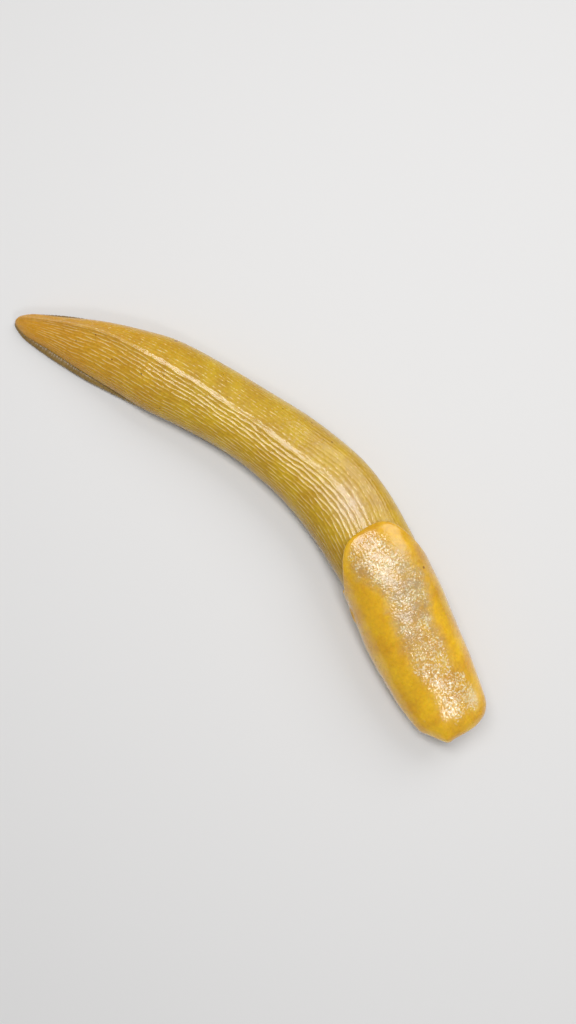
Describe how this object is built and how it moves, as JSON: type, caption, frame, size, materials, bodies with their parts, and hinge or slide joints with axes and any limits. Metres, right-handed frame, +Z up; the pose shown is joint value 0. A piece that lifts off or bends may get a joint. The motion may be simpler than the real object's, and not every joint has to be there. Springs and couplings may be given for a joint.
{
  "type": "banana slug",
  "caption": "Life-size banana slug resting on its flat sole in a gentle bend, with its head drawn in under the front of its mantle.",
  "frame": {"origin": "bottom centre of the slug's box, on the floor that the sole rests on", "axes": "+Z up; the head faces -Y, the slug's left is +X, and the body bends so that the tail lies towards -X"},
  "size_m": [0.0784, 0.161, 0.0179],
  "materials": {
    "mantle": "wet, finely granular skin, golden yellow",
    "back": "wet skin with rows of long tubercles, golden yellow",
    "tail": "wet skin with rows of long tubercles, ochre",
    "foot": "wet skin, greyish yellow, with grooves across its fringe",
    "head": "wet smooth skin, yellow",
    "tentacle": "wet smooth skin, ochre",
    "eye": "glossy, nearly black"
  },
  "bodies": {
    "root": {"mantle": "mantle", "head": "head", "upper_tentacle_left": "tentacle", "upper_tentacle_right": "tentacle", "lower_tentacle_left": "tentacle", "lower_tentacle_right": "tentacle", "eye_left": "eye", "eye_right": "eye", "trunk": "back", "back_front": "back", "back_middle": "back", "back_rear": "back", "tail": "tail", "foot_front": "foot", "foot_shoulder": "foot", "foot_middle": "foot", "foot_rear": "foot", "foot_tail": "foot"}
  },
  "joints": []
}
